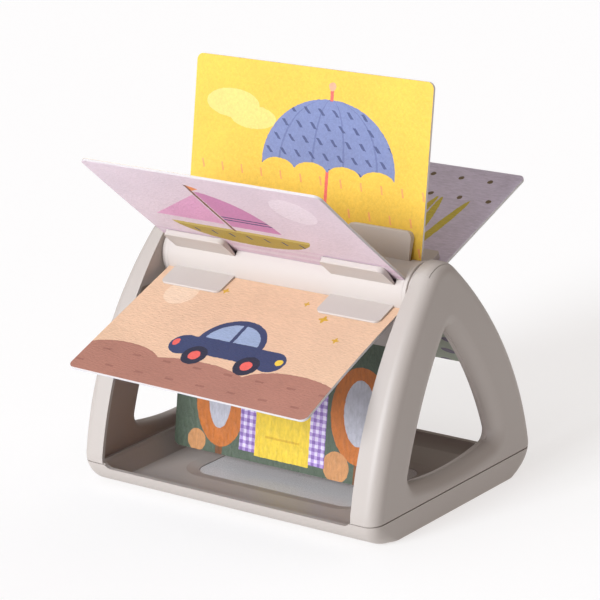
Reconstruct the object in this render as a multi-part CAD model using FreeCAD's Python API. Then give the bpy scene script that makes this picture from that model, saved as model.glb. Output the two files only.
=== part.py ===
# Tummy time book: a stand with two triangular sides and a base tray, and a roller that
# carries six picture cards and turns between the sides. Millimetres, +Z up.
# The origin is on the ground, under the middle of the roller's axis. X runs along that
# axis and +Y points to the back.
import FreeCAD, Part
import math
import os

# stand
half_width = 127.0        # outer faces of the two sides, where they stand out most
bulge_height = 58.7       # and the height of that place
bulge_radius = 1115.0     # upright curve of the outer faces
side_inner_x = 106.8      # inner edges of the two sides
axis_height = 149.2
seam_height = 17.6        # where the sides stand on the base
base_bottom = 0.2         # the rubber strips lift the base this far
apex_radius = 22.9        # round top of a side, about the roller's axis
leg_radius = 280.0        # curve of a leg's outer edge
leg_top_angle = 45.6      # leg's outward normal above the horizontal, at the apex
foot_radius = 19.6        # round foot of a leg, carried on by the ends of the base
leg_width = 37.7
sill_drop = 120.7         # lowest point of a side's window, below the axis
sill_radius = 243.0
window_top_round = 2.5
window_foot_round = 6.3
side_edge_round = 9.3
window_edge_round = 10.0
lip_x = 117.5             # shell and inner panel meet here, inside the window
shell_wall = 2.6
ledge_height = 2.5        # the side's foot, which shows as a ledge inside
seam_groove = 0.9         # dark line between a side and the base
seam_groove_depth = 1.2
fit_gap = 0.15            # between pieces that are pushed together
hair_gap = 0.1            # between pieces that touch
channel_depth = 8.3       # steps of the shell's hollow, from where the outer face bulges
outer_corner_cut = 5.6    # the deepest step keeps this far inside the outer outline
window_corner_cut = 5.8   # and this far outside the window

# inner panel of a side
panel_x = 110.9
panel_wall = 2.0
panel_ring = 7.5
panel_edge_round = 4.8
panel_cove = 2.0          # hollow curve where the panel meets the shell's rim
panel_cove_rim = 0.3

# axle block, bush and screws
block_half_depth = 14.1
block_drop = 15.0
block_outer_x = 117.75
block_groove = 0.35
bush_radius = 7.0
bush_flange_radius = 9.0
bush_flange = 1.0
axle_radius = 4.0
running_gap = 0.05
axle_half_length = 116.6
screw_radius = 1.5
screw_head_radius = 2.8
block_screw_offset = 10.6

# base tray
tray_wall = 3.4
tray_floor_height = 4.2
rim_height = 14.4         # front wall of the tray
rear_rim_height = 11.2
rim_corner_round = 6.5
tray_floor_half_width = 102.0
base_foot_round = 1.2     # along the ground at each side
base_turn_round = 5.4     # where the ends start to curve up
base_foot_half_length = 66.0
recess_half_width = 79.0
recess_half_depth = 51.0
recess_round = 21.0
recess_slope = 1.4
panel_half_width = 69.5
panel_half_depth = 42.0
panel_round = 12.0
floor_panel_thickness = 0.8
floor_panel_top = 2.4
end_wall_inner_x = 112.6
end_floor = 3.4
post_radius = 5.0
stand_screw_rows = (-56.0, 0.0, 56.0)
stand_screw_x = 118.2
strip_half_length = 64.0
strip_inner_x = 111.4
strip_outer_x = 123.0
strip_thickness = 1.2

# roller
card_turn = 9.8           # the whole roller stands turned by this angle, in degrees
card_count = 6
card_half_width = 100.0
card_outer = 139.5
card_inner = 13.0
card_thickness = 1.9
card_corner = 5.0
bow_start = 42.0          # the cards are flat up to here, between the tabs
# how far each card's outer corners are bent, at the left and at the right
card_bows = ((-0.6, -4.0), (1.6, 1.6), (0.0, 0.0), (0.0, 0.0), (-3.3, -3.3), (0.0, 0.0))
roller_radius = 21.0
roller_half_length = 100.0
slot_half = 1.1
rail_wall = 2.2
rail_leg_wall = 1.7
core_flat = 11.0
core_bore = 8.2
disc_thickness = 2.9
hub_ring_radius = 19.3
hub_end_x = 106.6
spigot_length = 12.0
disc_screw_radius = 10.5
disc_screw_shank = 1.0
disc_screw_head = 1.9
tab_inner_x = 41.2
tab_outer_x = 93.2
tab_corner = 4.5
push_tab_tip = 39.8       # thick tabs that press a card, reach from the axis
push_tab_outer = 5.2      # and how far their outer face stands off the card's middle
flat_tab_tip = 40.4       # thin tabs that back a card
flat_tab_outer = 2.35
tab_touch = 1.05          # inner faces of the tabs, from the card's middle


def point(x, y, z):
    return FreeCAD.Vector(x, y, z)


def polar(radius, degrees):
    turn = math.radians(degrees)
    return radius * math.cos(turn), radius * math.sin(turn)


def arc(x, centre, radius, start, end):
    """An arc in the plane at x; centre is (y, z) and the angles are from +Y upwards."""
    spots = []
    for degrees in (start, (start + end) / 2.0, end):
        dy, dz = polar(radius, degrees)
        spots.append(point(x, centre[0] + dy, centre[1] + dz))
    return Part.Arc(*spots).toShape()


def line(x, first, last):
    return Part.LineSegment(point(x, *first), point(x, *last)).toShape()


def slab(edges, length):
    """Extrude a closed outline, drawn in a plane across X, along +X."""
    face = Part.Face(Part.Wire(edges))
    return face.extrude(point(length, 0, 0))


def polygon_slab(x, corners, length):
    spots = [point(x, y, z) for y, z in corners]
    return Part.Face(Part.makePolygon(spots + spots[:1])).extrude(point(length, 0, 0))


def block(x0, x1, y0, y1, z0, z1):
    return Part.makeBox(x1 - x0, y1 - y0, z1 - z0, point(x0, y0, z0))


def rod(x0, x1, radius, y=0.0, z=axis_height):
    return Part.makeCylinder(radius, x1 - x0, point(x0, y, z), point(1, 0, 0))


def upright(radius, x, y, z0, z1):
    return Part.makeCylinder(radius, z1 - z0, point(x, y, z0))


def circles_meet(c1, r1, c2, r2, side):
    """The point where two circles cross, on the +Y (side 1) or -Y (side -1) hand."""
    dy, dz = c2[0] - c1[0], c2[1] - c1[1]
    gap = math.hypot(dy, dz)
    along = (r1 * r1 - r2 * r2 + gap * gap) / (2.0 * gap)
    across = math.sqrt(r1 * r1 - along * along)
    found = []
    for sign in (1, -1):
        y = c1[0] + (along * dy - sign * across * dz) / gap
        z = c1[1] + (along * dz + sign * across * dy) / gap
        found.append((y, z))
    return max(found, key=lambda spot: side * spot[0])


def angle_of(centre, spot):
    return math.degrees(math.atan2(spot[1] - centre[1], spot[0] - centre[0]))


# the centre of a leg's curve lies beyond the axis, on the leg's top normal
leg_reach = leg_radius - apex_radius
leg_centre = (-polar(leg_reach, leg_top_angle)[0],
              axis_height - polar(leg_reach, leg_top_angle)[1])
# the foot's curve meets the leg's and the ground without a corner
foot_level = base_bottom + foot_radius
foot_turn = math.degrees(math.asin((foot_level - leg_centre[1])
                                   / (leg_radius - foot_radius)))
base_flat = leg_centre[0] + polar(leg_radius - foot_radius, foot_turn)[0]
half_depth = base_flat + foot_radius


def side_outline(x, inset=0.0):
    """A side's outline, drawn in by inset."""
    edges = [arc(x, (0.0, axis_height), apex_radius - inset,
                 leg_top_angle, 180.0 - leg_top_angle)]
    low_angle = foot_angle(seam_height, inset)
    reach = base_flat + polar(foot_radius - inset, low_angle)[0]
    for sign in (1, -1):
        leg = (sign * leg_centre[0], leg_centre[1])
        foot = (sign * base_flat, foot_level)
        turns = [a if sign > 0 else 180.0 - a for a in (leg_top_angle, foot_turn, low_angle)]
        edges.append(arc(x, leg, leg_radius - inset, turns[0], turns[1]))
        edges.append(arc(x, foot, foot_radius - inset, turns[1], turns[2]))
    edges.append(line(x, (reach, seam_height), (-reach, seam_height)))
    return Part.__sortEdges__(edges)


def foot_angle(height, inset=0.0):
    """Where the foot's curve, drawn in by inset, passes the given height."""
    return math.degrees(math.asin((height - foot_level) / (foot_radius - inset)))


def dome(inset=0.0):
    """A great drum lying along Y; its skin is the outer face of the right-hand side."""
    reach = half_depth + 5.0
    return Part.makeCylinder(bulge_radius - inset, 2.0 * reach,
                             point(half_width - bulge_radius, -reach, bulge_height),
                             point(0, 1, 0))


def dome_x(height):
    rise = height - bulge_height
    return half_width - bulge_radius + math.sqrt(bulge_radius ** 2 - rise ** 2)


def side_slab(x0, x1, inset=0.0):
    return slab(side_outline(x0, inset), x1 - x0)


def window_slab(x0, x1, grow=0.0):
    """The side's three-cornered window, grown outwards by grow."""
    side_radius = leg_radius - leg_width + grow
    sill = (0.0, axis_height - sill_drop + sill_radius)
    top = axis_height + (leg_centre[1] - axis_height
                         + math.sqrt(side_radius ** 2 - leg_centre[0] ** 2))
    corners = {}
    edges = []
    for sign in (1, -1):
        leg = (sign * leg_centre[0], leg_centre[1])
        spot = circles_meet(leg, side_radius, sill, sill_radius + grow, sign)
        corners[sign] = spot
        edges.append(arc(x0, leg, side_radius, angle_of(leg, (0.0, top)) % 360.0,
                         angle_of(leg, spot) % 360.0))
    start = angle_of(sill, corners[-1]) % 360.0
    end = angle_of(sill, corners[1]) % 360.0
    edges.append(arc(x0, sill, sill_radius + grow, start, end))
    shape = slab(Part.__sortEdges__(edges), x1 - x0)
    apex = [e for e in edges_along_x(shape) if e.CenterOfMass.z > top - 1.0]
    shape = shape.makeFillet(window_top_round + grow, apex)
    feet = [e for e in edges_along_x(shape) if e.CenterOfMass.z < corners[1][1] + 1.0]
    return shape.makeFillet(window_foot_round + grow, feet)


def edges_along_x(shape):
    found = []
    for edge in shape.Edges:
        ends = edge.Vertexes
        if len(ends) == 2 and edge.Curve.TypeId == "Part::GeomLine":
            step = ends[1].Point - ends[0].Point
            if abs(step.y) < 1e-6 and abs(step.z) < 1e-6:
                found.append(edge)
    return found


def outer_face_edges(shape):
    """Edges that lie on the domed outer face of the right-hand side."""
    top = dome_x(axis_height + apex_radius) - 1.0
    return [e for e in shape.Edges if e.BoundBox.XMin > top]


def edges_at_x(shape, x):
    """Edges that lie wholly in the plane at x."""
    return [e for e in shape.Edges
            if abs(e.BoundBox.XMin - x) < 1e-4 and abs(e.BoundBox.XMax - x) < 1e-4]


def left_copy(shape):
    return shape.mirror(point(0, 0, 0), point(1, 0, 0))


def rounded_side():
    """The right-hand side's full body, domed outside, with its outer outline rounded."""
    body = side_slab(side_inner_x, half_width + 1.0).common(dome())
    rim = [e for e in outer_face_edges(body) if e.BoundBox.ZMax > seam_height + 0.01]
    return body.makeFillet(side_edge_round, rim)


def side_shell():
    """Outer skin of the right-hand side: rounded outside, open inside and below."""
    body = rounded_side().cut(window_slab(side_inner_x - 1.0, half_width + 1.0))
    lip = [e for e in outer_face_edges(body)
           if in_window(e) and e.BoundBox.ZMin > seam_height + 5.0]
    body = body.makeFillet(window_edge_round, lip)
    body = body.cut(shell_hollow())
    reach = block_half_depth + hair_gap
    notch = block(side_inner_x - 1.0, block_outer_x + block_groove, -reach, reach,
                  axis_height - block_drop - hair_gap, axis_height + apex_radius + 5.0)
    body = body.cut(notch)
    return body.fuse(shell_bosses()).cut(shell_pilot_holes()).removeSplitter()


def in_window(edge):
    """True for an edge on the window's outline rather than on the side's."""
    middle = edge.valueAt((edge.FirstParameter + edge.LastParameter) / 2.0)
    reach = math.hypot(abs(middle.y) - leg_centre[0], middle.z - leg_centre[1])
    return reach < leg_radius - leg_width + 2.0


def shell_hollow():
    """What is moulded out of the shell: a full recess, then a channel round the window."""
    mid_x = half_width - channel_depth
    deep_x = half_width - shell_wall
    top = axis_height - block_drop - 2.0
    keep = block(side_inner_x - 1.0, half_width, -half_depth, half_depth,
                 seam_height + ledge_height, top)
    recess = side_slab(side_inner_x - 0.5, lip_x, shell_wall)
    channel = side_slab(lip_x - 0.5, mid_x, shell_wall)
    channel = channel.cut(window_slab(lip_x - 1.0, mid_x + 1.0, shell_wall))
    deep = side_slab(mid_x - 0.5, deep_x, outer_corner_cut)
    deep = deep.cut(window_slab(mid_x - 1.0, deep_x + 1.0, window_corner_cut))
    return recess.fuse(channel).fuse(deep).common(keep).common(dome(shell_wall))


def boss_top(row):
    """The middle post stays under the window's sill."""
    return seam_height + 6.0 if row == 0.0 else seam_height + 11.0


def shell_bosses():
    """Posts that take the stand screws, each tied to the outer skin by a rib."""
    parts = []
    for row in stand_screw_rows:
        parts.append(upright(3.6, stand_screw_x, row, seam_height, boss_top(row)))
        parts.append(block(stand_screw_x, half_width - 2.5, row - 1.2, row + 1.2,
                           seam_height, boss_top(row)))
    return parts[0].fuse(parts[1:])


def shell_pilot_holes():
    holes = [upright(screw_radius, stand_screw_x, row, seam_height - 1.0,
                     boss_top(row) - 1.2) for row in stand_screw_rows]
    for sign in (1, -1):
        holes.append(rod(block_outer_x - 1.0, block_outer_x + 4.0, screw_radius,
                         sign * block_screw_offset, axis_height - block_screw_offset))
    return holes[0].fuse(holes[1:])


def side_panel():
    """Inner cover of the right-hand side, turned outwards round the window."""
    inset = shell_wall + fit_gap
    rim_x = lip_x - hair_gap
    body = side_slab(panel_x - panel_cove, panel_x + panel_wall, inset)
    ring = window_slab(panel_x, rim_x, panel_ring)
    ring = ring.common(side_slab(panel_x - 1.0, rim_x + 1.0, inset))
    body = body.fuse(ring).common(panel_bounds(0.0)).cut(panel_dish(inset))
    body = body.cut(window_slab(panel_x - 1.0, rim_x + 1.0))
    lip = [e for e in edges_at_x(body, panel_x) if in_window(e)
           and e.BoundBox.ZMax < axis_height - 22.0 and e.BoundBox.ZMin > seam_height + 8.0]
    body = body.makeFillet(panel_edge_round, lip)
    for row in stand_screw_rows:
        body = body.cut(upright(3.8, stand_screw_x, row, seam_height, boss_top(row) + 0.3))
    return body.removeSplitter()


def panel_bounds(inset):
    """Keeps the panel clear of the shell's ledge below and of its solid top above."""
    low = seam_height + ledge_height + fit_gap + inset
    high = axis_height - block_drop - 2.0 - fit_gap - inset
    return block(side_inner_x - 1.0, half_width, -half_depth, half_depth, low, high)


def panel_dish(inset):
    """What is hollowed from the panel's face, with a rounded bottom edge."""
    rim = panel_cove_rim
    dish = side_slab(side_inner_x - 1.0, panel_x, inset + rim).common(panel_bounds(rim))
    return dish.makeFillet(panel_cove, edges_at_x(dish, panel_x))


def axle_block():
    """Bearing block let into the top of the right-hand side; its top is the side's apex."""
    body = rounded_side().common(block(side_inner_x + hair_gap, block_outer_x,
                                       -block_half_depth, block_half_depth,
                                       axis_height - block_drop,
                                       axis_height + apex_radius + 1.0))
    body = body.cut(rod(side_inner_x - 1.0, block_outer_x - 0.8, bush_radius))
    body = body.cut(rod(side_inner_x - 1.0, side_inner_x + hair_gap + bush_flange,
                        bush_flange_radius + hair_gap))
    for sign in (1, -1):
        y, z = sign * block_screw_offset, axis_height - block_screw_offset
        body = body.cut(rod(side_inner_x - 1.0, block_outer_x + 1.0, screw_radius, y, z))
        body = body.cut(rod(side_inner_x - 1.0, side_inner_x + 2.2, screw_head_radius, y, z))
    return body


def axle_bush():
    start = side_inner_x + hair_gap
    sleeve = rod(start, block_outer_x - 0.8, bush_radius)
    sleeve = sleeve.fuse(rod(start, start + bush_flange, bush_flange_radius))
    return sleeve.cut(rod(start - 1.0, block_outer_x, axle_radius + running_gap)).removeSplitter()


def block_screws():
    """Two screws that hold the bearing block to the shell, as separate solids."""
    screws = []
    for sign in (1, -1):
        y, z = sign * block_screw_offset, axis_height - block_screw_offset
        head = rod(side_inner_x + 0.3, side_inner_x + 2.2, screw_head_radius - 0.1, y, z)
        shank = rod(side_inner_x + 2.2, block_outer_x + 3.5, screw_radius - 0.05, y, z)
        slot = block(side_inner_x, side_inner_x + 1.3, y - 1.6, y + 1.6, z - 0.3, z + 0.3)
        screws.append(head.fuse(shank).cut(slot))
    return Part.makeCompound(screws)


def stand_screws():
    """Three screws that come up through the base into the right-hand side."""
    head_top = end_floor + 2.6
    screws = []
    for row in stand_screw_rows:
        head = upright(screw_head_radius, stand_screw_x, row, head_top - 2.0, head_top)
        shank = upright(screw_radius - 0.05, stand_screw_x, row, head_top,
                        boss_top(row) - 1.5)
        slot = block(stand_screw_x - 1.8, stand_screw_x + 1.8, row - 0.4, row + 0.4,
                     head_top - 3.0, head_top - 1.0)
        screws.append(head.fuse(shank).cut(slot))
    return Part.makeCompound(screws)


def base_profile(x, inset=0.0, top=0.0):
    """Base section across X: flat below, round at each end up to the seam."""
    edges = []
    radius = foot_radius - inset
    high_angle = foot_angle(seam_height, inset)
    reach = base_flat + polar(radius, high_angle)[0]
    for sign in (1, -1):
        centre = (sign * base_flat, foot_level)
        end = high_angle if sign > 0 else 180.0 - high_angle
        edges.append(arc(x, centre, radius, -90.0 if sign > 0 else 270.0, end))
        if top:
            edge = sign * reach
            edges.append(line(x, (edge, seam_height), (edge, seam_height + top)))
    low = base_bottom + inset
    stops = [-base_flat, -base_foot_half_length, base_foot_half_length, base_flat]
    for start, end in zip(stops, stops[1:]):
        edges.append(line(x, (start, low), (end, low)))
    edges.append(line(x, (-reach, seam_height + top), (reach, seam_height + top)))
    return Part.__sortEdges__(edges)


def rounded_plate(half_x, half_y, corner, z0, z1):
    body = block(-half_x, half_x, -half_y, half_y, z0, z1)
    posts = [e for e in body.Edges if abs(e.BoundBox.ZLength - (z1 - z0)) < 1e-6
             and e.BoundBox.XLength < 1e-6 and e.BoundBox.YLength < 1e-6]
    return body.makeFillet(corner, posts)


def base_tray():
    body = slab(base_profile(-half_width), 2.0 * half_width)
    body = round_base_edges(body.common(dome()).common(left_copy(dome())))
    body = body.cut(tray_hollow()).cut(rim_cut()).cut(floor_recess())
    body = body.cut(seam_line())
    for sign in (1, -1):
        hollow = end_hollow()
        drills = end_drillings()
        groove = strip_shape(0.0, strip_thickness)
        for tool in (hollow, drills, groove):
            body = body.cut(tool if sign > 0 else left_copy(tool))
    return body.removeSplitter()


def base_edge_round(spot):
    """How round the base's outer edges are: as the sides at the seam, tighter below."""
    if spot.z > seam_height - 0.1:
        return side_edge_round
    if abs(spot.y) > base_foot_half_length + 1.0:
        return base_turn_round
    return base_foot_round


def round_base_edges(body):
    """Rounds both end outlines with a radius that grows from the ground to the seam."""
    document = FreeCAD.newDocument("base")
    plain = document.addObject("Part::Feature", "plain")
    plain.Shape = body
    rounded = document.addObject("Part::Fillet", "rounded")
    rounded.Base = plain
    radii = []
    for number, edge in enumerate(body.Edges, 1):
        if edge.BoundBox.XLength < half_width and edge.BoundBox.ZMin < seam_height - 0.01:
            ends = [corner.Point for corner in edge.Vertexes]
            radii.append((number, base_edge_round(ends[0]), base_edge_round(ends[-1])))
    rounded.Edges = radii
    document.recompute()
    result = rounded.Shape.copy()
    FreeCAD.closeDocument(document.Name)
    return result


def seam_line():
    """The fine groove round the base's top edge, under the sides."""
    inset = seam_groove_depth
    bottom = seam_height - seam_groove
    ring = block(-half_width, half_width, -half_depth - 2.0, half_depth + 2.0,
                 bottom, seam_height + 1.0)
    reach = base_flat + polar(foot_radius, foot_angle(seam_height))[0]
    return ring.cut(rounded_plate(dome_x(seam_height) - inset, reach - inset,
                                  side_edge_round - inset, bottom - 1.0, seam_height + 2.0))


def tray_hollow():
    """Space between the tray's walls; its end walls lean outwards."""
    lean = (side_inner_x - tray_floor_half_width) / (seam_height - tray_floor_height)
    above = seam_height + 10.0
    reach = tray_floor_half_width + lean * (above - tray_floor_height)
    room = slab(base_profile(-reach, tray_wall, 10.0), 2.0 * reach)
    corners = [point(-tray_floor_half_width, -half_depth, tray_floor_height),
               point(tray_floor_half_width, -half_depth, tray_floor_height),
               point(reach, -half_depth, above),
               point(-reach, -half_depth, above)]
    wedge = Part.Face(Part.makePolygon(corners + corners[:1]))
    return room.common(wedge.extrude(point(0, 2.0 * half_depth, 0)))


def rim_cut():
    """Lowers the front and back walls between the sides, the back one further."""
    tools = []
    half = side_inner_x - hair_gap
    for start, end, height in ((-half_depth - 5.0, 0.0, rim_height),
                               (0.0, half_depth + 5.0, rear_rim_height)):
        cut = block(-half, half, start, end, height, seam_height + 5.0)
        low = [e for e in cut.Edges if abs(abs(e.CenterOfMass.x) - half) < 1e-6
               and abs(e.CenterOfMass.z - height) < 1e-6]
        tools.append(cut.makeFillet(rim_corner_round, low))
    return tools[0].fuse(tools[1])


def floor_recess():
    """A shallow dish in the tray's floor, with a flat seat for the grey panel."""
    seat = floor_panel_top - floor_panel_thickness
    slope_bottom = tray_floor_height - recess_slope
    outer = rounded_wire(recess_half_width, recess_half_depth, recess_round,
                         tray_floor_height + 0.01)
    inner = rounded_wire(panel_half_width + 1.0, panel_half_depth + 1.0,
                         panel_round + 1.0, slope_bottom)
    dish = Part.makeLoft([outer, inner], True, True)
    pocket = rounded_plate(panel_half_width + 0.3, panel_half_depth + 0.3,
                           panel_round + 0.3, seat, tray_floor_height + 1.0)
    return dish.fuse(pocket)


def rounded_wire(half_x, half_y, corner, z):
    plate = rounded_plate(half_x, half_y, corner, z, z + 1.0)
    faces = [f for f in plate.Faces if abs(f.CenterOfMass.z - z) < 1e-6]
    return faces[0].OuterWire


def floor_panel():
    return rounded_plate(panel_half_width, panel_half_depth, panel_round,
                         floor_panel_top - floor_panel_thickness, floor_panel_top)


def end_hollow():
    """Pocket in the base under the right-hand side, with posts for its screws."""
    outer_x = half_width - shell_wall - 1.4
    pocket = block(end_wall_inner_x, outer_x, -base_flat, base_flat,
                   end_floor, seam_height + 1.0)
    posts = [upright(post_radius, stand_screw_x, row, end_floor - 1.0, seam_height + 2.0)
             for row in stand_screw_rows]
    return pocket.cut(posts[0].fuse(posts[1:]))


def end_drillings():
    head_top = end_floor + 2.6
    tools = []
    for row in stand_screw_rows:
        tools.append(upright(screw_head_radius + 0.3, stand_screw_x, row, -1.0, head_top))
        tools.append(upright(screw_radius + 0.2, stand_screw_x, row, -1.0, seam_height + 1.0))
    return tools[0].fuse(tools[1:])


def strip_shape(z0, z1, clearance=0.15):
    """A long rounded strip under the right-hand end, or the groove that it sits in."""
    half = (strip_outer_x - strip_inner_x) / 2.0 + clearance
    middle = (strip_outer_x + strip_inner_x) / 2.0
    body = rounded_plate(half, strip_half_length + clearance, 4.0, z0, z1)
    return body.translated(point(middle, 0, 0))


def foot_strip():
    return strip_shape(0.0, strip_thickness, 0.0)


# roller: directions are angles from the front (-Y), going up, in degrees
def card_angle(index):
    return card_turn - 30.0 + index * 360.0 / card_count


def spot(angle, out, off):
    """(y, z) of a place out from the axis along angle, and off it to the rising side."""
    turn = math.radians(angle)
    y = -out * math.cos(turn) + off * math.sin(turn)
    z = out * math.sin(turn) + off * math.cos(turn)
    return y, axis_height + z


def ring_arc(x, radius, start, end):
    spots = [point(x, *spot(a, radius, 0.0)) for a in (start, (start + end) / 2.0, end)]
    return Part.Arc(*spots).toShape()


def rail_section(x, low, high):
    """A rail between the cards at angles low and high: a shell on two legs."""
    outer_turn = math.degrees(math.asin(slot_half / roller_radius))
    inner_radius = roller_radius - rail_wall
    leg_off = slot_half + rail_leg_wall
    inner_turn = math.degrees(math.asin(leg_off / inner_radius))
    seat = core_flat + 0.05
    foot_out = (seat + slot_half * math.sin(math.radians(30.0))) / math.cos(math.radians(30.0))
    foot_in = (seat + leg_off * math.sin(math.radians(30.0))) / math.cos(math.radians(30.0))
    inner_out = inner_radius * math.cos(math.radians(inner_turn))
    shell_out = roller_radius * math.cos(math.radians(outer_turn))
    edges = [ring_arc(x, roller_radius, low + outer_turn, high - outer_turn),
             ring_arc(x, inner_radius, low + inner_turn, high - inner_turn)]
    for angle, hand in ((low, 1), (high, -1)):
        outer_end = spot(angle, shell_out, hand * slot_half)
        outer_foot = spot(angle, foot_out, hand * slot_half)
        inner_foot = spot(angle, foot_in, hand * leg_off)
        inner_end = spot(angle, inner_out, hand * leg_off)
        edges.append(line(x, outer_end, outer_foot))
        edges.append(line(x, outer_foot, inner_foot))
        edges.append(line(x, inner_foot, inner_end))
    return Part.__sortEdges__(edges)


def tab(corners, angle, hand, tip):
    """One tab, drawn as (out, off) corners beside the card at angle; its tip is rounded."""
    section = [spot(angle, out, hand * off) for out, off in corners]
    body = polygon_slab(tab_inner_x, section, tab_outer_x - tab_inner_x)
    return body.common(tab_outline(angle, tip))


def tab_outline(angle, tip):
    """A flat slab in the card's plane with the tab's rounded tip corners."""
    slab_half = 8.0
    start = 10.0
    body = Part.makeBox(tab_outer_x - tab_inner_x, tip - start, 2.0 * slab_half,
                        point(tab_inner_x, -tip, -slab_half))
    corners = [e for e in body.Edges if abs(e.BoundBox.ZLength - 2.0 * slab_half) < 1e-6
               and abs(e.CenterOfMass.y + tip) < 1e-6]
    body = body.makeFillet(tab_corner, corners)
    body.rotate(point(0, 0, 0), point(1, 0, 0), -angle)
    return body.translated(point(0, 0, axis_height))


def clip_rail(low):
    """One of the six rails, with a pair of tabs along each long edge."""
    high = low + 360.0 / card_count
    length = roller_half_length - 0.05
    body = slab(rail_section(-length, low, high), 2.0 * length)
    window = [spot(high, out, -off) for out, off in
              ((15.5, 0.2), (26.0, 0.2), (26.0, 5.0), (15.5, 5.0))]
    push_root = push_tab_outer + 0.23
    push = [(18.4, 3.8), (18.4, push_tab_outer), (roller_radius * 0.966, push_root),
            (push_tab_tip - 0.8, push_tab_outer), (push_tab_tip, push_tab_outer - 0.8),
            (push_tab_tip, tab_touch + 0.6), (push_tab_tip - 0.6, tab_touch),
            (35.2, tab_touch), (21.2, 3.8)]
    flat = [(17.6, tab_touch + 0.1), (17.6, 2.6), (20.8, 2.55),
            (flat_tab_tip - 0.6, flat_tab_outer), (flat_tab_tip, flat_tab_outer - 0.6),
            (flat_tab_tip - 0.1, tab_touch)]
    for mirrored in (False, True):
        notch = polygon_slab(tab_inner_x - 0.6, window, tab_outer_x - tab_inner_x + 1.2)
        body = body.cut(left_copy(notch) if mirrored else notch)
    for mirrored in (False, True):
        for piece in (tab(push, high, -1, push_tab_tip), tab(flat, low, 1, flat_tab_tip)):
            body = body.fuse(left_copy(piece) if mirrored else piece)
    return body.removeSplitter()


def roller_core():
    """Six-sided tube under the rails; the cards' inner edges stand off its corners."""
    corner = core_flat / math.cos(math.radians(30.0))
    corners = [spot(card_angle(i), corner, 0.0) for i in range(card_count)]
    length = roller_half_length
    body = polygon_slab(-length, corners, 2.0 * length)
    body = body.cut(rod(-length - 1.0, length + 1.0, core_bore))
    for hole in disc_holes(roller_half_length - 10.0, roller_half_length + 1.0,
                           disc_screw_shank):
        body = body.cut(hole).cut(left_copy(hole))
    return body


def disc_holes(x0, x1, radius):
    places = [spot(card_angle(i), disc_screw_radius, 0.0) for i in (0, 2, 4)]
    return [rod(x0, x1, radius, y, z) for y, z in places]


def end_disc():
    """Right-hand end of the roller: a disc over the rails' ends, a hub and a spigot."""
    start = roller_half_length + 0.05
    face = start + disc_thickness
    disc = rod(start, face, roller_radius)
    rims = [e for e in edges_at_x(disc, face)]
    disc = disc.makeFillet(0.8, rims)
    hub = rod(face - 1.0, hub_end_x, hub_ring_radius)
    hub = hub.makeFillet(0.6, edges_at_x(hub, hub_end_x))
    spigot = rod(start - spigot_length, start + 0.5, core_bore - 0.1)
    body = disc.fuse(hub).fuse(spigot)
    body = body.cut(rod(start - spigot_length - 1.0, hub_end_x + 1.0, axle_radius))
    for hole in disc_holes(start - 1.0, hub_end_x + 1.0, disc_screw_shank + 0.1):
        body = body.cut(hole)
    for hole in disc_holes(hub_end_x - 1.9, hub_end_x + 1.0, disc_screw_head + 0.1):
        body = body.cut(hole)
    return body.removeSplitter()


def disc_screws():
    """Three screws that fix the right-hand disc to the core."""
    heads = disc_holes(hub_end_x - 1.9, hub_end_x - 0.4, disc_screw_head)
    shanks = disc_holes(roller_half_length - 9.0, hub_end_x - 1.9, disc_screw_shank - 0.05)
    return Part.makeCompound([head.fuse(shank) for head, shank in zip(heads, shanks)])


def axle():
    body = rod(-axle_half_length, axle_half_length, axle_radius)
    ends = edges_at_x(body, axle_half_length) + edges_at_x(body, -axle_half_length)
    return body.makeChamfer(0.5, ends)


def card_section(x, angle, bow):
    """Outline of a card across X: flat between the tabs, then bent by bow at its edge."""
    length = card_outer - bow_start
    slope = 2.0 * bow / length
    edges = []
    ends = []
    for side in (card_thickness / 2.0, -card_thickness / 2.0):
        root = spot(angle, card_inner, side)
        start = spot(angle, bow_start, side)
        middle = spot(angle, bow_start + length / 2.0, bow / 4.0 + side)
        end = spot(angle, card_outer - side * slope, bow + side)
        edges.append(line(x, root, start))
        edges.append(line(x, start, end) if bow == 0.0 else arc_through(x, start, middle, end))
        ends.append((root, end))
    edges.append(line(x, ends[0][0], ends[1][0]))
    edges.append(line(x, ends[0][1], ends[1][1]))
    return Part.Wire(Part.__sortEdges__(edges))


def arc_through(x, start, middle, end):
    return Part.Arc(point(x, *start), point(x, *middle), point(x, *end)).toShape()


def card(angle, bows):
    """A board with rounded outer corners, between its left and right outlines."""
    left = card_section(-card_half_width, angle, bows[0])
    right = card_section(card_half_width, angle, bows[1])
    if bows[0] == bows[1]:
        body = Part.Face(left).extrude(point(2.0 * card_half_width, 0, 0))
    else:
        body = Part.makeLoft([left, right], True, True)
    corners = [e for e in body.Edges if abs(e.Length - card_thickness) < 0.05
               and math.hypot(e.CenterOfMass.y, e.CenterOfMass.z - axis_height) > bow_start]
    return body.makeFillet(card_corner, corners)


card_names = ("front_lower", "front_upper", "top", "rear_upper", "rear_lower", "bottom")
rail_names = ("front", "front_top", "rear_top", "rear", "rear_bottom", "front_bottom")


def all_parts():
    parts = {"base_tray": base_tray(), "floor_panel": floor_panel(),
             "roller_core": roller_core(), "axle_rod": axle()}
    paired = {"side_shell": side_shell(), "side_panel": side_panel(),
              "axle_block": axle_block(), "axle_bush": axle_bush(),
              "axle_block_screws": block_screws(), "stand_screws": stand_screws(),
              "foot_strip": foot_strip(), "end_disc": end_disc(),
              "end_disc_screws": disc_screws()}
    for name, shape in paired.items():
        parts[name + "_right"] = shape
        parts[name + "_left"] = left_copy(shape)
    for index in range(card_count):
        parts["card_" + card_names[index]] = card(card_angle(index), card_bows[index])
        parts["clip_rail_" + rail_names[index]] = clip_rail(card_angle(index))
    return parts


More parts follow.
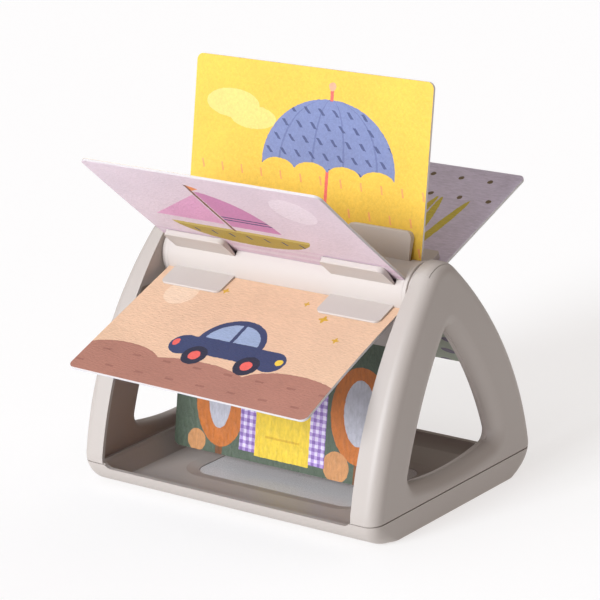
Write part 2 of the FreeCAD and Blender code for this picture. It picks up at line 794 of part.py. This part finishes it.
def write_parts(parts):
    os.makedirs("parts", exist_ok=True)
    for name, shape in parts.items():
        if not shape.isValid():
            print("not valid:", name)
        shape.exportStep(os.path.join("parts", name + ".step"))
        print(name, len(shape.Solids), round(shape.Volume / 1000.0, 2), "cm3")


write_parts(all_parts())
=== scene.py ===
# Tummy time book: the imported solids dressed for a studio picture, with new picture cards
import math

import bpy
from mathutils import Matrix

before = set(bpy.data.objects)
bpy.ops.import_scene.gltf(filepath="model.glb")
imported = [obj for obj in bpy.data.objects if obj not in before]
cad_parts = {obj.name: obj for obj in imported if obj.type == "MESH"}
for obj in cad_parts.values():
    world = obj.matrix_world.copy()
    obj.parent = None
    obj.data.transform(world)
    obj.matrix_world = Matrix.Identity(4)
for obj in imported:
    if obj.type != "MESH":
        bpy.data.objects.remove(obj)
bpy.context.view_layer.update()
print("frame loaded:", len(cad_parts), "nodes")

axisHeight = 0.1492  # the roller's axis above the ground
cardMiddle = 76.0  # mm from the axis to the middle of a card
cardWidth = 200.0  # mm
mmPerMetre = 1000.0


def hexColour(text):
    parts = [int(text[i:i + 2], 16) / 255 for i in (1, 3, 5)]
    linear = [c / 12.92 if c <= 0.04045 else ((c + 0.055) / 1.055) ** 2.4 for c in parts]
    return (*linear, 1.0)


# adds one node, sets its properties and inputs, and links sockets into it
def addNode(tree, kind, settings=None, values=None, links=None):
    node = tree.nodes.new(kind)
    for name, value in (settings or {}).items():
        setattr(node, name, value)
    for name, value in (values or {}).items():
        node.inputs[name].default_value = value
    for name, socket in (links or {}).items():
        tree.links.new(socket, node.inputs[name])
    return node


def newMaterial(name):
    material = bpy.data.materials.new(name)
    material.use_nodes = True
    material.node_tree.nodes.clear()
    return material, material.node_tree


def finishMaterial(tree, shader):
    addNode(tree, "ShaderNodeOutputMaterial", links={"Surface": shader})


def giveMaterial(thing, material):
    thing.data.materials.clear()
    thing.data.materials.append(material)


mouldFinish = {"cloudDetail": 3.0, "grainDetail": 2.0, "smoother": 0.04, "rougher": 0.05,
               "grainHeight": 0.0002}


# a moulded plastic: a fine grain from the spark-eroded mould spreads the highlight, and the
# colour is faintly uneven
def mouldedPlastic(name, look):
    material, tree = newMaterial(name)
    place = addNode(tree, "ShaderNodeTexCoord").outputs["Object"]
    cloud = addNode(tree, "ShaderNodeTexNoise",
                    values={"Scale": look["cloudScale"], "Detail": mouldFinish["cloudDetail"]},
                    links={"Vector": place})
    grain = addNode(tree, "ShaderNodeTexNoise",
                    values={"Scale": look["grainScale"], "Detail": mouldFinish["grainDetail"]},
                    links={"Vector": place})
    colour = addNode(tree, "ShaderNodeMix", {"data_type": "RGBA"},
                     {6: hexColour(look["colour"]), 7: hexColour(look["shade"])},
                     {0: cloud.outputs[0]})
    # only the liner has a rim colour: its window's rim stays unshaded, the rest keeps its painted
    # shade
    if "rimColour" in look:
        axes = addNode(tree, "ShaderNodeSeparateXYZ", links={0: place})
        away = addNode(tree, "ShaderNodeMath", {"operation": "ABSOLUTE"},
                       links={0: axes.outputs[0]})
        rim = addNode(tree, "ShaderNodeMapRange",
                      values={"From Min": look["rimStart"], "From Max": look["rimFull"]},
                      links={"Value": away.outputs[0]})
        colour = addNode(tree, "ShaderNodeMix", {"data_type": "RGBA"},
                         {7: hexColour(look["rimColour"])},
                         {0: rim.outputs[0], 6: colour.outputs[2]})
    rough = addNode(tree, "ShaderNodeMapRange",
                    values={"To Min": look["rough"] - mouldFinish["smoother"],
                            "To Max": look["rough"] + mouldFinish["rougher"]},
                    links={"Value": grain.outputs[0]})
    bump = addNode(tree, "ShaderNodeBump",
                   values={"Strength": look["grainDepth"],
                           "Distance": mouldFinish["grainHeight"]},
                   links={"Height": grain.outputs[0]})
    shader = addNode(tree, "ShaderNodeBsdfPrincipled", values={"IOR": look["ior"]},
                     links={"Base Color": colour.outputs[2], "Roughness": rough.outputs[0],
                            "Normal": bump.outputs[0]})
    finishMaterial(tree, shader.outputs[0])
    return material


# turned and plated steel: tool marks break up a bright sheen, seen only at close range
def turnedSteel(name, look):
    material, tree = newMaterial(name)
    place = addNode(tree, "ShaderNodeTexCoord").outputs["Object"]
    marks = addNode(tree, "ShaderNodeTexNoise",
                    values={"Scale": look["markScale"], "Detail": look["markDetail"]},
                    links={"Vector": place})
    rough = addNode(tree, "ShaderNodeMapRange",
                    values={"To Min": look["rough"] - look["smoother"],
                            "To Max": look["rough"] + look["rougher"]},
                    links={"Value": marks.outputs[0]})
    shader = addNode(tree, "ShaderNodeBsdfPrincipled",
                     values={"Base Color": hexColour(look["colour"]), "Metallic": 1.0},
                     links={"Roughness": rough.outputs[0]})
    finishMaterial(tree, shader.outputs[0])
    return material


plasticLooks = {
    # satin polypropylene: soft, broad highlights
    "shell": {"colour": "#B4ABA5", "shade": "#AFA6A0", "rough": 0.46, "ior": 1.49,
              "cloudScale": 9.0, "grainScale": 1400.0, "grainDepth": 0.12},
    # the same plastic, warmer and darker inside as painted shade; the window's rim like the shell
    "paintedShadeLiner": {"colour": "#9A867B", "shade": "#938075", "rough": 0.48, "ior": 1.49,
              "cloudScale": 9.0, "grainScale": 1400.0, "grainDepth": 0.12,
              "rimColour": "#BAB0AA", "rimStart": 0.1108, "rimFull": 0.1135},
    # the same plastic, slightly lighter as painted light, lifting clip tabs that lie in the cards'
    # shade
    "roller": {"colour": "#C3BAB5", "shade": "#BEB5AF", "rough": 0.48, "ior": 1.49,
               "cloudScale": 9.0, "grainScale": 1400.0, "grainDepth": 0.12},
    # plain polypropylene from an unpolished mould: dull and greyer
    "inner": {"colour": "#A8A29D", "shade": "#A19A95", "rough": 0.5, "ior": 1.49,
              "cloudScale": 9.0, "grainScale": 1100.0, "grainDepth": 0.15},
    # grey polystyrene from a polished mould: a sharper, cooler sheen
    "panel": {"colour": "#D8D6D6", "shade": "#D3D0D1", "rough": 0.27, "ior": 1.5,
              "cloudScale": 14.0, "grainScale": 1600.0, "grainDepth": 0.05},
    # milky acetal, turned smooth: waxy
    "bush": {"colour": "#D6D6D2", "shade": "#D0D0CB", "rough": 0.25, "ior": 1.48,
             "cloudScale": 20.0, "grainScale": 1400.0, "grainDepth": 0.05},
    # soft moulded rubber: dark and matt
    "strip": {"colour": "#4A4745", "shade": "#423F3D", "rough": 0.8, "ior": 1.52,
              "cloudScale": 30.0, "grainScale": 900.0, "grainDepth": 0.3},
}
steelLook = {"colour": "#B9B9BC", "rough": 0.32, "smoother": 0.06, "rougher": 0.08,
             "markScale": 900.0, "markDetail": 2.0}

materials = {
    "shell": mouldedPlastic("satinPolypropyleneShell", plasticLooks["shell"]),
    # the liner's darker, warmer colour is painted shade on the inner faces
    "paintedShadeLiner": mouldedPlastic("satinPolypropyleneLinerPaintedShade", plasticLooks["paintedShadeLiner"]),
    # the roller plastic is the shell's plastic made lighter: painted light
    "roller": mouldedPlastic("satinPolypropyleneRollerPaintedLight", plasticLooks["roller"]),
    "inner": mouldedPlastic("plainPolypropyleneInner", plasticLooks["inner"]),
    "panel": mouldedPlastic("greyPolystyrenePanel", plasticLooks["panel"]),
    "bush": mouldedPlastic("acetalBush", plasticLooks["bush"]),
    "strip": mouldedPlastic("softRubberStrip", plasticLooks["strip"]),
    "steel": turnedSteel("platedSteel", steelLook),
}
print("plastics and steel made")


# masks are drawn in millimetres on a card's face: x across, y up the picture

def oval(art, x, y, width, height, turn=0.0):
    place = addNode(art["tree"], "ShaderNodeMapping", {"vector_type": "TEXTURE"},
                    {"Location": (x, y, 0.0), "Rotation": (0.0, 0.0, math.radians(turn)),
                     "Scale": (width / 2, height / 2, 1.0)}, {"Vector": art["place"]})
    reach = addNode(art["tree"], "ShaderNodeVectorMath", {"operation": "LENGTH"},
                    links={0: place.outputs[0]})
    return join(art, "LESS_THAN", reach.outputs["Value"], 1.0)


def oblong(art, x, y, width, height, turn=0.0):
    place = addNode(art["tree"], "ShaderNodeMapping", {"vector_type": "TEXTURE"},
                    {"Location": (x, y, 0.0), "Rotation": (0.0, 0.0, math.radians(turn)),
                     "Scale": (width / 2, height / 2, 1.0)}, {"Vector": art["place"]})
    size = addNode(art["tree"], "ShaderNodeVectorMath", {"operation": "ABSOLUTE"},
                   links={0: place.outputs[0]})
    axes = addNode(art["tree"], "ShaderNodeSeparateXYZ", links={0: size.outputs[0]})
    return join(art, "LESS_THAN", join(art, "MAXIMUM", axes.outputs[0], axes.outputs[1]), 1.0)


# the part of the face on the inner side of a line through (x, y), whose normal is at turn
def side(art, x, y, turn):
    away = (math.cos(math.radians(turn)), math.sin(math.radians(turn)), 0.0)
    reach = addNode(art["tree"], "ShaderNodeVectorMath", {"operation": "DOT_PRODUCT"},
                    {1: away}, {0: art["place"]})
    return join(art, "LESS_THAN", reach.outputs["Value"], x * away[0] + y * away[1])


def join(art, operation, first, second):
    node = addNode(art["tree"], "ShaderNodeMath", {"operation": operation})
    for index, source in enumerate((first, second)):
        if isinstance(source, (int, float)):
            node.inputs[index].default_value = source
        else:
            art["tree"].links.new(source, node.inputs[index])
    return node.outputs[0]


def both(art, *masks):
    result = masks[0]
    for mask in masks[1:]:
        result = join(art, "MULTIPLY", result, mask)
    return result


def either(art, *masks):
    result = masks[0]
    for mask in masks[1:]:
        result = join(art, "MAXIMUM", result, mask)
    return result


def without(art, mask, hole):
    return join(art, "MULTIPLY", mask, join(art, "SUBTRACT", 1.0, hole))


# how far across and up from the middle of its cell each point lies, every second row staggered
def inCell(art, cell, shift=(0.0, 0.0)):
    place = addNode(art["tree"], "ShaderNodeMapping",
                    values={"Location": (shift[0], shift[1], 0.0)}, links={"Vector": art["place"]})
    axes = addNode(art["tree"], "ShaderNodeSeparateXYZ", links={0: place.outputs[0]})
    row = join(art, "DIVIDE", axes.outputs[1], cell[1])
    offset = join(art, "MULTIPLY", join(art, "MODULO", join(art, "FLOOR", row, 0.0), 2.0), 0.5)
    column = join(art, "ADD", join(art, "DIVIDE", axes.outputs[0], cell[0]), offset)
    across = join(art, "MULTIPLY", join(art, "SUBTRACT", fraction(art, column), 0.5), cell[0])
    upward = join(art, "MULTIPLY", join(art, "SUBTRACT", fraction(art, row), 0.5), cell[1])
    return across, upward


# a field of short bars: cell size, bar size and lean in mm
def repeated(art, cell, bar, lean=0.0, shift=(0.0, 0.0)):
    across, upward = inCell(art, cell, shift)
    leaned = join(art, "ADD", across, join(art, "MULTIPLY", upward, lean))
    wide = join(art, "LESS_THAN", join(art, "ABSOLUTE", leaned, 0.0), bar[0] / 2)
    high = join(art, "LESS_THAN", join(art, "ABSOLUTE", upward, 0.0), bar[1] / 2)
    return join(art, "MULTIPLY", wide, high)


# a field of round dots
def dotted(art, cell, size, shift=(0.0, 0.0)):
    across, upward = inCell(art, cell, shift)
    reach = join(art, "ADD", join(art, "MULTIPLY", across, across),
                 join(art, "MULTIPLY", upward, upward))
    return join(art, "LESS_THAN", reach, size * size / 4)


def fraction(art, value):
    return join(art, "FRACT", value, 0.0)


def stripes(art, pitch, share, turn=0.0):
    away = (math.cos(math.radians(turn)), math.sin(math.radians(turn)), 0.0)
    reach = addNode(art["tree"], "ShaderNodeVectorMath", {"operation": "DOT_PRODUCT"},
                    {1: away}, {0: art["place"]})
    row = join(art, "DIVIDE", reach.outputs["Value"], pitch)
    return join(art, "LESS_THAN", fraction(art, row), share)


def paint(art, ground, mask, colour):
    mix = addNode(art["tree"], "ShaderNodeMix", {"data_type": "RGBA"}, {7: hexColour(colour)},
                  {0: mask})
    if isinstance(ground, str):
        mix.inputs[6].default_value = hexColour(ground)
    else:
        art["tree"].links.new(ground, mix.inputs[6])
    return mix.outputs[2]


# an umbrella in the rain
def umbrellaPicture(art):
    colour = paint(art, "#F1C548", oval(art, -66, 32, 46, 20), "#F5D67A")
    colour = paint(art, colour, oval(art, -48, 24, 40, 16), "#F5D67A")
    drops = both(art, repeated(art, (17, 19), (1.5, 6.0), 0.25, (4, 3)),
                 side(art, 0, 2, 90))
    colour = paint(art, colour, drops, "#F2A45F")
    stick = oblong(art, 18, -14, 2.6, 76)
    hook = without(art, oval(art, 11.5, -50, 15.6, 15.6), oval(art, 11.5, -50, 10.4, 10.4))
    colour = paint(art, colour, either(art, stick, both(art, hook, side(art, 0, -50, 90))),
                   "#EE6A62")
    dome = both(art, oval(art, 18, -4, 112, 94), side(art, 0, -6, -90))
    for step in range(4):
        dome = without(art, dome, oval(art, -24 + 28 * step, -8, 28, 14))
    colour = paint(art, colour, dome, "#7C89B9")
    for step in (0, 2):
        rib = both(art, dome, without(art, oval(art, 18, -4, 28 + 28 * step, 94),
                                      oval(art, 18, -4, 24.5 + 28 * step, 94)))
        colour = paint(art, colour, rib, "#6C78A8")
    marks = both(art, dome, repeated(art, (12, 10), (2.6, 4.4), 0.9, (2, 1)))
    colour = paint(art, colour, marks, "#4A5584")
    colour = paint(art, colour, oblong(art, 18, 46, 2.6, 8), "#EE6A62")
    colour = paint(art, colour, oval(art, 18, 52, 6, 6), "#F3AB8C")
    return colour


# a sailing boat on striped water
def boatPicture(art):
    colour = paint(art, "#DFCDD8", oval(art, 62, 34, 34, 34), "#EADBE4")
    water = both(art, side(art, 0, -34, 90), stripes(art, 9.0, 0.5, 90))
    colour = paint(art, colour, water, "#D9BFD0")
    hull = both(art, oval(art, -14, -14, 118, 50), side(art, 0, -16, 90))
    colour = paint(art, colour, hull, "#AD9434")
    band = both(art, hull, side(art, 0, -20, -90), side(art, 0, -16, 90))
    colour = paint(art, colour, band, "#C9B45C")
    ports = both(art, hull, repeated(art, (15, 60), (2.0, 5.0), 0.4, (4, 56)))
    colour = paint(art, colour, ports, "#3B3A5E")
    mast = oblong(art, -18, 16, 2.4, 68)
    colour = paint(art, colour, mast, "#7A4E3C")
    big = both(art, side(art, -16, 0, 180), oval(art, -22, -12, 96, 108))
    colour = paint(art, colour, both(art, big, side(art, 0, -10, -90)), "#CB84B2")
    lines = both(art, big, side(art, 0, -2, -90), side(art, 0, 8, 90), stripes(art, 4.0, 0.4, 90))
    colour = paint(art, colour, lines, "#3F4270")
    small = both(art, side(art, -20.5, 0, 0), side(art, -20, 36, 126), side(art, 0, -8, -90))
    colour = paint(art, colour, small, "#DDA0C6")
    flag = both(art, side(art, -17, 0, 180), side(art, -17, 50, 62), side(art, -17, 42, -62))
    colour = paint(art, colour, flag, "#E98B4A")
    return colour


# a car among hills, with stars
def carPicture(art):
    colour = paint(art, "#E9C2A2", oval(art, -70, 30, 26, 26), "#F0D2B6")
    hills = either(art, side(art, 0, -42, 90), oval(art, -72, -44, 70, 30),
                   oval(art, -6, -46, 92, 26), oval(art, 72, -44, 84, 34))
    colour = paint(art, colour, hills, "#B07A69")
    clods = both(art, hills, repeated(art, (26, 15), (7.0, 1.8), 0.0, (5, 2)))
    colour = paint(art, colour, clods, "#9C6759")
    body = either(art, oblong(art, 6, -18, 74, 16), oval(art, -31, -20, 22, 20),
                  oval(art, 43, -20, 22, 20))
    cab = both(art, oval(art, 2, -12, 54, 52), side(art, 0, -12, -90))
    colour = paint(art, colour, either(art, body, cab), "#35426A")
    glass = both(art, oval(art, 2, -11, 44, 40), side(art, 0, -9, -90))
    colour = paint(art, colour, without(art, glass, oblong(art, 2, 0, 3, 40)), "#9DB0D0")
    for x in (-16, 28):
        colour = paint(art, colour, oval(art, x, -28, 19, 19), "#23283F")
        colour = paint(art, colour, oval(art, x, -28, 9, 9), "#F0685F")
    colour = paint(art, colour, oval(art, 49, -19, 6, 6), "#F7D24B")
    colour = paint(art, colour, oval(art, -38, -19, 5, 7), "#F0685F")
    for x, y, size in ((52, 30, 8), (74, 12, 6), (30, 42, 5), (-38, 40, 6)):
        ray = either(art, oval(art, x, y, size, size / 3.2), oval(art, x, y, size / 3.2, size))
        colour = paint(art, colour, ray, "#D9A92F")
    return colour


# purple and white gingham cloth
def gingham(art, ground, mask):
    across, along = stripes(art, 5.2, 0.5, 0), stripes(art, 5.2, 0.5, 90)
    colour = paint(art, ground, mask, "#E6DAF0")
    colour = paint(art, colour, both(art, mask, either(art, across, along)), "#B79CD4")
    return paint(art, colour, both(art, mask, across, along), "#8A68B0")


# a yellow market stall with checked curtains between round orange trees
def stallPicture(art):
    colour = paint(art, "#566352", oval(art, -84, 44, 30, 12), "#65725C")
    for x, width, low in ((-60, 44, -24), (60, 50, -16)):
        colour = paint(art, colour, oblong(art, x, low - 36, 6, 24), "#7C4D2B")
        colour = paint(art, colour, oval(art, x, low, width, 68), "#C9722F")
        colour = paint(art, colour, oval(art, x - 1, low + 2, width - 24, 46), "#C3C1CB")
    for x, size in ((-80, 16), (42, 22), (86, 18)):
        colour = paint(art, colour, oval(art, x, -63 + size * 0.4, size, size), "#D0935F")
    curtains = either(art, oblong(art, -35, -26, 14, 62), oblong(art, 25, -26, 14, 62))
    roof = both(art, side(art, -5, 44, 42), side(art, -5, 44, 138), side(art, 0, 4, -90))
    colour = gingham(art, colour, either(art, curtains, roof))
    colour = paint(art, colour, oblong(art, -5, -33, 47, 52), "#F0CC3E")
    cloth = without(art, oblong(art, -5, -16, 34, 12), oval(art, -5, -8, 20, 10))
    colour = gingham(art, colour, cloth)
    colour = paint(art, colour, oblong(art, -5, -44, 30, 1.6), "#DDB02E")
    return colour


# moon, reeds and dots
def moonPicture(art):
    moon = without(art, oval(art, -30, 6, 60, 60), oval(art, -18, 14, 56, 56))
    colour = paint(art, "#D6CBE0", moon, "#D2BE3E")
    for x, lean in ((34, 12), (46, -6), (58, 8), (70, -10)):
        colour = paint(art, colour, oval(art, x, -8, 7, 70, lean), "#CDB93A")
    dots = both(art, dotted(art, (24, 22), 4.2, (6, 4)), side(art, 0, 20, -90))
    colour = paint(art, colour, dots, "#6E5A3A")
    return colour


def wavePicture(art):
    colour = paint(art, "#B5D3C4", both(art, stripes(art, 18.0, 0.5, 90), side(art, 0, -6, 90)),
                   "#A3C4B4")
    for x, y, size in ((-50, 20, 40), (0, 26, 52), (54, 18, 36)):
        colour = paint(art, colour, oval(art, x, y, size, size), "#F1A08A")
        colour = paint(art, colour, oval(art, x, y, size * 0.6, size * 0.6), "#F6C7AE")
    return colour


def spotPicture(art, ground, spots):
    return paint(art, ground, dotted(art, (30, 26), 11.0), spots)


def barPicture(art, ground, bars):
    return paint(art, ground, stripes(art, 22.0, 0.5, 30), bars)


cardLooks = {
    "boardEdge": "#CFC9C9", "faceDepth": 0.82, "rough": 0.52, "ior": 1.5,
    "weaveScale": 0.55,  # ridges about 1.8 mm apart
    "weaveTone": 0.09, "embossDepth": 0.75, "embossHeight": 0.0008,
    "fadeScale": 0.03, "fadeTone": 0.035,  # clouds about 30 mm across
    "toneFrom": 0.3, "toneTo": 0.7,  # the noise's own spread
    "inkTone": 0.875,
    "wanderScale": 0.35, "wander": 1.1,  # mm that a printed outline strays
    "smoother": 0.08, "rougher": 0.12,
    "bendStart": 42.0, "bendLength": 97.5,
}
# a card stands at an angle; each face has a picture, which way up it is, and its colours;
# bend is how far the outer corners are bent off, at the left and at the right, in mm;
# ridges are how close the emboss lies across and along the card, emboss is how deep it is
cards = {
    "card_top": {"angle": 99.8, "bend": (0.0, 0.0), "ridges": (1.2, 0.7), "emboss": 0.7,
                 "front": (umbrellaPicture, 1, ()),
                 "back": (spotPicture, 1, ("#F4E2B0", "#E9A66B"))},
    "card_front_upper": {"angle": 39.8, "bend": (1.6, 1.6), "ridges": (0.8, 1.3), "emboss": 0.7,
                         "front": (boatPicture, 1, ()),
                         "back": (barPicture, 1, ("#F3D9A2", "#EBCB8A"))},
    "card_front_lower": {"angle": -20.2, "bend": (-0.6, -4.0),
                         "ridges": (0.55, 1.8), "emboss": 0.75,
                         "front": (spotPicture, -1, ("#C9D6E6", "#8FA5CC")),
                         "back": (carPicture, -1, ())},
    "card_bottom": {"angle": -80.2, "bend": (0.0, 0.0), "ridges": (0.95, 0.34), "emboss": 1.5,
                    "front": (barPicture, -1, ("#E7C9D3", "#D9B3C3")),
                    "back": (stallPicture, -1, ())},
    "card_rear_upper": {"angle": 159.8, "bend": (0.0, 0.0), "ridges": (0.38, 1.3), "emboss": 1.2,
                        "front": (moonPicture, 1, ()), "back": (wavePicture, 1, ())},
    "card_rear_lower": {"angle": 219.8, "bend": (-3.3, -3.3), "ridges": (0.8, 1.2), "emboss": 0.8,
                        "front": (spotPicture, 1, ("#BCD7C8", "#F0A48C")),
                        "back": (spotPicture, 1, ("#A7B39B", "#5E4A70"))},
}


# laminated greyboard: printed paper under a linen-embossed film, die-cut with a bare grey edge;
# the eye gets flat inks broken up by a fine cloth-like weave with a low sheen
def printedBoard(name, card):
    material, tree = newMaterial(name)
    place = addNode(tree, "ShaderNodeTexCoord").outputs["Object"]
    turn = math.radians(card["angle"])
    # metres in the frame to millimetres on the card: across, out from the axis, off its middle
    lie = addNode(tree, "ShaderNodeMapping", {"vector_type": "POINT"},
                  {"Scale": (mmPerMetre, -mmPerMetre, mmPerMetre),
                   "Rotation": (-turn, 0.0, 0.0),
                   "Location": (0.0, -mmPerMetre * axisHeight * math.sin(turn) - cardMiddle,
                                -mmPerMetre * axisHeight * math.cos(turn))},
                  {"Vector": place})
    art = {"tree": tree}
    away = flatOffset(art, lie.outputs[0], card["bend"])
    wobble = addNode(tree, "ShaderNodeTexNoise",
                     values={"Scale": cardLooks["wanderScale"], "Detail": 2.0},
                     links={"Vector": lie.outputs[0]})
    wander = cardLooks["wander"]
    drift = addNode(tree, "ShaderNodeVectorMath", {"operation": "MULTIPLY_ADD"},
                    {1: (wander, wander, 0.0), 2: (-wander / 2, -wander / 2, 0.0)},
                    {0: wobble.outputs["Color"]})
    faces = []
    for key, flat in (("front", -1), ("back", 1)):
        picture, upright, colours = card[key]
        # seen from the rising side, the picture runs the other way across unless it is upside down
        across = 1.0 if flat * upright < 0 else -1.0
        lay = addNode(tree, "ShaderNodeMapping", {"vector_type": "POINT"},
                      {"Scale": (across, float(upright), 0.0)}, {"Vector": lie.outputs[0]})
        cut = addNode(tree, "ShaderNodeVectorMath", {"operation": "ADD"},
                      links={0: lay.outputs[0], 1: drift.outputs[0]})
        faces.append(picture({"tree": tree, "place": cut.outputs[0]}, *colours))
    rising = join(art, "GREATER_THAN", away, 0.0)
    colour = addNode(tree, "ShaderNodeMix", {"data_type": "RGBA"}, None,
                     {0: rising, 6: faces[0], 7: faces[1]})
    threads = addNode(tree, "ShaderNodeMapping", None, {"Scale": (*card["ridges"], 1.0)},
                      {"Vector": lie.outputs[0]})
    weave = addNode(tree, "ShaderNodeTexNoise",
                    values={"Scale": cardLooks["weaveScale"], "Detail": 3.0},
                    links={"Vector": threads.outputs[0]})
    fade = addNode(tree, "ShaderNodeTexNoise",
                   values={"Scale": cardLooks["fadeScale"], "Detail": 4.0},
                   links={"Vector": lie.outputs[0]})
    printed = colour.outputs[2]
    for source, middle, reach in ((weave, 1.0, cardLooks["weaveTone"] * card["emboss"]),
                                  (fade, cardLooks["inkTone"], cardLooks["fadeTone"])):
        tone = addNode(tree, "ShaderNodeMapRange",
                       values={"From Min": cardLooks["toneFrom"],
                               "From Max": cardLooks["toneTo"],
                               "To Min": middle - reach, "To Max": middle + reach},
                       links={"Value": source.outputs[0]})
        printed = addNode(tree, "ShaderNodeVectorMath", {"operation": "SCALE"},
                          links={0: printed, "Scale": tone.outputs[0]}).outputs[0]
    core = join(art, "LESS_THAN", join(art, "ABSOLUTE", away, 0.0), cardLooks["faceDepth"])
    final = addNode(tree, "ShaderNodeMix", {"data_type": "RGBA"},
                    {7: hexColour(cardLooks["boardEdge"])}, {0: core, 6: printed})
    bump = addNode(tree, "ShaderNodeBump",
                   values={"Strength": cardLooks["embossDepth"],
                           "Distance": cardLooks["embossHeight"] * card["emboss"]},
                   links={"Height": weave.outputs[0]})
    rough = addNode(tree, "ShaderNodeMapRange",
                    values={"To Min": cardLooks["rough"] - cardLooks["smoother"],
                            "To Max": cardLooks["rough"] + cardLooks["rougher"]},
                    links={"Value": weave.outputs[0]})
    shader = addNode(tree, "ShaderNodeBsdfPrincipled", values={"IOR": cardLooks["ior"]},
                     links={"Base Color": final.outputs[2], "Roughness": rough.outputs[0],
                            "Normal": bump.outputs[0]})
    finishMaterial(tree, shader.outputs[0])
    return material


# distance off the middle of the board, which bends more and more towards its outer edge
def flatOffset(art, place, bend):
    axes = addNode(art["tree"], "ShaderNodeSeparateXYZ", links={0: place})
    share = join(art, "DIVIDE",
                 join(art, "ADD", axes.outputs[1], cardMiddle - cardLooks["bendStart"]),
                 cardLooks["bendLength"])
    share = join(art, "MAXIMUM", share, 0.0)
    twist = join(art, "MULTIPLY", axes.outputs[0], (bend[1] - bend[0]) / cardWidth)
    here = join(art, "ADD", twist, (bend[0] + bend[1]) / 2)
    return join(art, "SUBTRACT", axes.outputs[2],
                join(art, "MULTIPLY", here, join(art, "MULTIPLY", share, share)))


for nodeName, card in cards.items():
    giveMaterial(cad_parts[nodeName], printedBoard("printedBoard_" + nodeName, card))
print("cards printed")

# the side panel gets the liner, whose darker colour is painted shade
nodeFinish = {
    "side_shell": "shell", "side_panel": "paintedShadeLiner", "base_tray": "shell", "axle_block": "shell",
    # clip rails and end discs get the roller plastic, lightened as painted light
    "floor_panel": "panel", "foot_strip": "strip", "clip_rail": "roller", "end_disc": "roller",
    "roller_core": "inner", "axle_bush": "bush", "axle_rod": "steel", "stand_screws": "steel",
    "axle_block_screws": "steel", "end_disc_screws": "steel",
}
for nodeName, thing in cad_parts.items():
    if nodeName in cards:
        continue
    kind = max((k for k in nodeFinish if nodeName.startswith(k)), key=len)
    giveMaterial(thing, materials[nodeFinish[kind]])
print("solids finished")

studio = {
    "cameraPlace": (1.1751, -1.5106, 0.7191), "cameraTurn": (72.8239, 2.1665, 37.2307),
    "lens": 175.16, "sensor": 36.0, "floorSize": 30.0,
    "worldColour": "#FFDCC4", "worldGlow": 0.11,
}
# soft suns: azimuth from the front towards the right, height, spread, strength and colour
suns = {
    "keySoftbox": (-9.0, 24.0, 24.0, 3.0, (0.93, 0.985, 1.04)),
    "frontSoftbox": (-16.0, 5.0, 55.0, 1.2, (0.95, 0.985, 1.03)),
    "overheadSoftbox": (-75.0, 58.0, 50.0, 0.65, (0.96, 0.985, 1.02)),
    "rightSoftbox": (45.0, 66.0, 60.0, 0.35, (1.0, 0.975, 0.96)),
    "backSoftbox": (170.0, 46.0, 60.0, 0.6, (1.0, 0.97, 0.95)),
}

cameraData = bpy.data.cameras.new("camera")
cameraData.lens = studio["lens"]
cameraData.sensor_width = studio["sensor"]
camera = bpy.data.objects.new("camera", cameraData)
camera.location = studio["cameraPlace"]
camera.rotation_euler = [math.radians(a) for a in studio["cameraTurn"]]
bpy.context.scene.collection.objects.link(camera)
bpy.context.scene.camera = camera

for sunName, (azimuth, height, spread, strength, tint) in suns.items():
    sunData = bpy.data.lights.new(sunName, "SUN")
    sunData.energy = strength
    sunData.angle = math.radians(spread)
    sunData.color = tint
    sun = bpy.data.objects.new(sunName, sunData)
    sun.rotation_euler = (math.radians(90.0 - height), 0.0, math.radians(azimuth))
    bpy.context.scene.collection.objects.link(sun)

world = bpy.data.worlds.new("studioWorld")
bpy.context.scene.world = world
world.use_nodes = True
backdrop = next(n for n in world.node_tree.nodes if n.type == "BACKGROUND")
backdrop.inputs[0].default_value = hexColour(studio["worldColour"])
backdrop.inputs[1].default_value = studio["worldGlow"]
bpy.context.scene.view_settings.view_transform = "Standard"

# matt white paper lit from below as well, as on a light table: near white with a faint shadow
paperLook = {"colour": "#A6A8A9", "rough": 0.9, "specular": 0.2, "grainScale": 700.0,
             "grainDetail": 2.0, "grainDepth": 0.05, "grainHeight": 0.0002,
             "glow": "#FEFBFA", "glowStrength": 0.635}
bpy.ops.mesh.primitive_plane_add(size=studio["floorSize"], location=(0.0, 0.0, 0.0))
floor = bpy.context.object
floor.name = "floor"
paper, paperTree = newMaterial("palePaperFloor")
paperPlace = addNode(paperTree, "ShaderNodeTexCoord").outputs["Object"]
paperGrain = addNode(paperTree, "ShaderNodeTexNoise",
                     values={"Scale": paperLook["grainScale"], "Detail": paperLook["grainDetail"]},
                     links={"Vector": paperPlace})
paperBump = addNode(paperTree, "ShaderNodeBump",
                    values={"Strength": paperLook["grainDepth"],
                            "Distance": paperLook["grainHeight"]},
                    links={"Height": paperGrain.outputs[0]})
paperSheet = addNode(paperTree, "ShaderNodeBsdfPrincipled",
                     values={"Base Color": hexColour(paperLook["colour"]),
                             "Roughness": paperLook["rough"],
                             "Specular IOR Level": paperLook["specular"]},
                     links={"Normal": paperBump.outputs[0]})
paperGlow = addNode(paperTree, "ShaderNodeEmission",
                    values={"Color": hexColour(paperLook["glow"]),
                            "Strength": paperLook["glowStrength"]})
paperBoth = addNode(paperTree, "ShaderNodeAddShader",
                    links={0: paperSheet.outputs[0], 1: paperGlow.outputs[0]})
finishMaterial(paperTree, paperBoth.outputs[0])
giveMaterial(floor, paper)
print("studio set")
